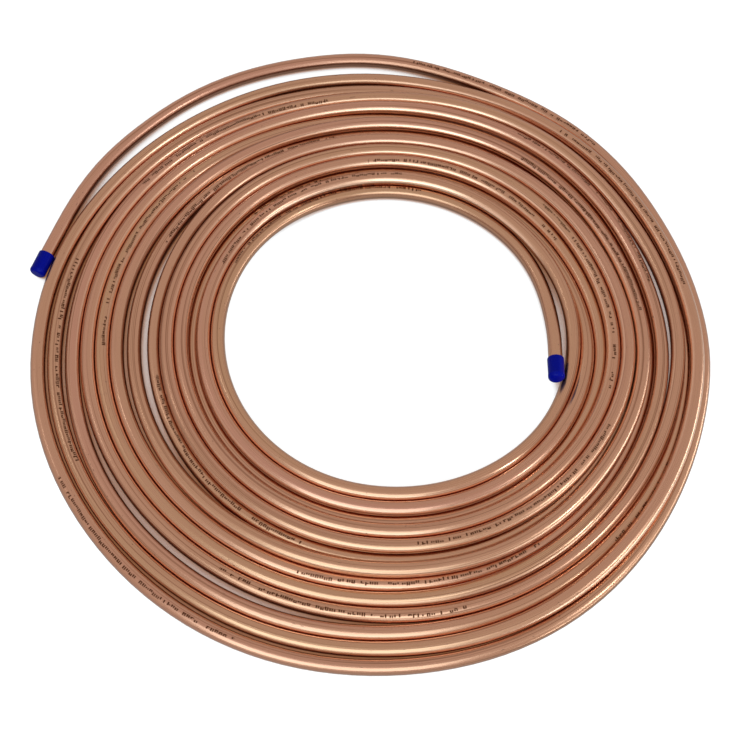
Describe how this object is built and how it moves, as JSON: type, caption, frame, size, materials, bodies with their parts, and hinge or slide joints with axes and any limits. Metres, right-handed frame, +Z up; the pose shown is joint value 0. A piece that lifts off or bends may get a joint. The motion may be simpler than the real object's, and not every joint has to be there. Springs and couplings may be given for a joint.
{
  "type": "copper tube coil",
  "caption": "Flat pancake coil of seamless round copper tube with a soft vinyl cap over each end, lying flat.",
  "frame": {"origin": "on the floor under the middle of the coil's bounding box", "axes": "+Z up, square to the flat coil; +Y away from the viewer, with the capped outer end on the -X side and the capped inner end on the +X side of the central hole"},
  "size_m": [0.4842, 0.485, 0.0191],
  "materials": {
    "copper": null,
    "vinyl": "soft dip-moulded vinyl, dark blue, satin"
  },
  "bodies": {
    "root": {"copper_tube": "copper", "inner_end_cap": "vinyl", "outer_end_cap": "vinyl"}
  },
  "joints": []
}
